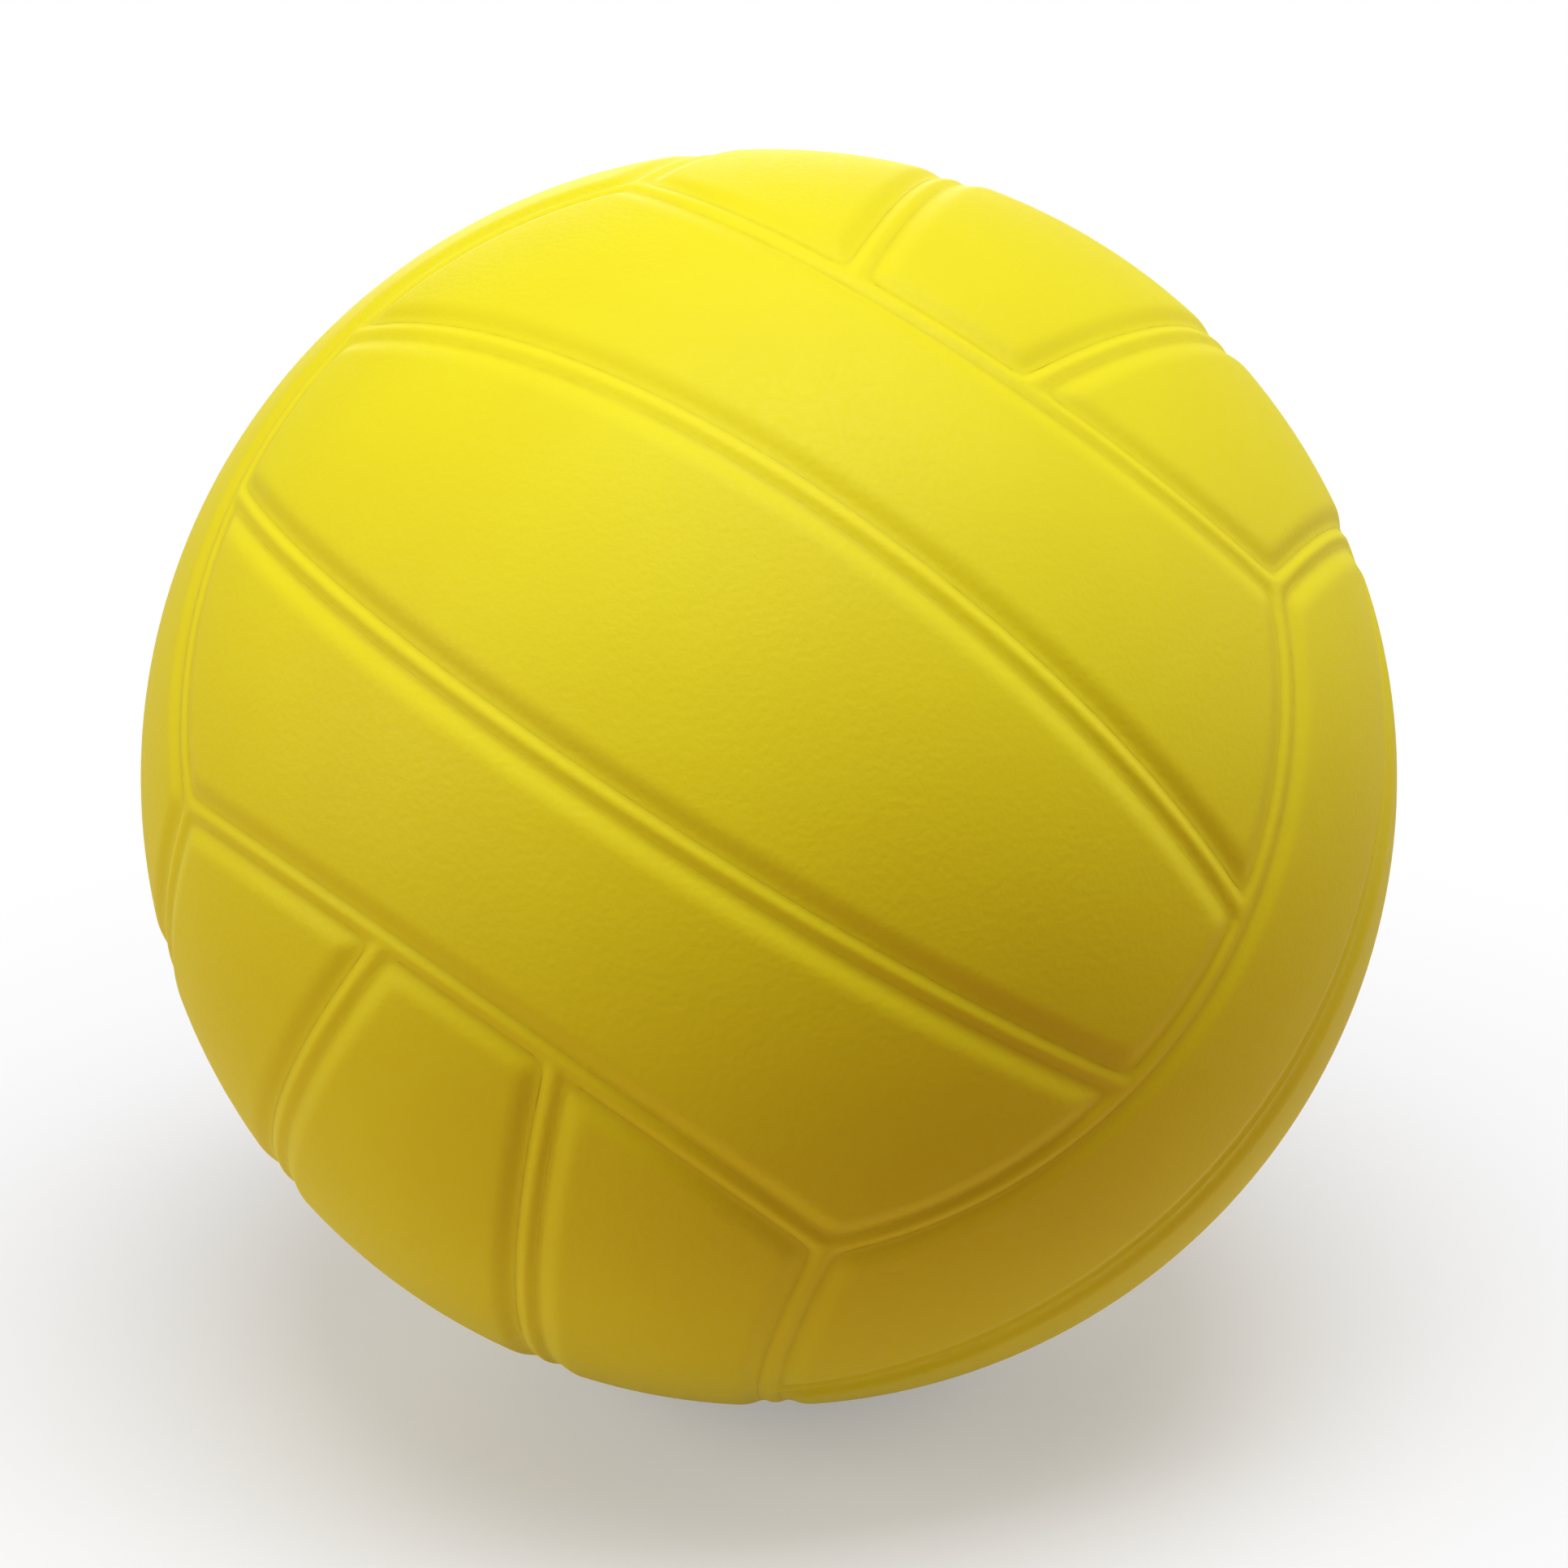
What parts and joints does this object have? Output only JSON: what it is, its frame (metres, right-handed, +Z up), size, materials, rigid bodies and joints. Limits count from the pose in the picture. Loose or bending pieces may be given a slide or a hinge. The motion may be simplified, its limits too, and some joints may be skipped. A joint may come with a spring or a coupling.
{
  "type": "volleyball",
  "caption": "Round inflatable volleyball: rolled-edge rubber panels between raised seam ribs, over a carcass, thread winding and air bladder, with a needle valve.",
  "frame": {"origin": "the centre of the ball", "axes": "+Z is up as the ball lies in the picture, -Y is towards the viewer and +X is to the viewer's right. The valve points to the upper left rear."},
  "size_m": [0.2096, 0.2096, 0.21],
  "materials": {
    "cover_rubber": "matte moulded yellow rubber",
    "carcass_rubber": "matte moulded yellow rubber, on the seam ribs",
    "nylon_thread": "wound undyed nylon thread",
    "butyl_rubber": "smooth black butyl",
    "valve_rubber": "moulded black rubber",
    "plug_rubber": "soft dark grey rubber"
  },
  "bodies": {
    "ball": {"panel_front_upper": "cover_rubber", "panel_front_middle": "cover_rubber", "panel_front_lower": "cover_rubber", "panel_back_upper": "cover_rubber", "panel_back_middle": "cover_rubber", "panel_back_lower": "cover_rubber", "panel_right_front": "cover_rubber", "panel_right_middle": "cover_rubber", "panel_right_rear": "cover_rubber", "panel_left_front": "cover_rubber", "panel_left_middle": "cover_rubber", "panel_left_rear": "cover_rubber", "panel_top_right": "cover_rubber", "panel_top_middle": "cover_rubber", "panel_top_left": "cover_rubber", "panel_bottom_right": "cover_rubber", "panel_bottom_middle": "cover_rubber", "panel_bottom_left": "cover_rubber", "carcass": "carcass_rubber", "thread_winding": "nylon_thread", "bladder": "butyl_rubber", "valve_housing": "valve_rubber"},
    "valve_plug": {"valve_plug": "plug_rubber"}
  },
  "joints": [
    {"name": "valve_plug_pull", "type": "slide", "parent": "ball", "child": "valve_plug", "axis": [-0.8159, 0.3753, 0.4399], "range_m": [0, 0.018]}
  ]
}
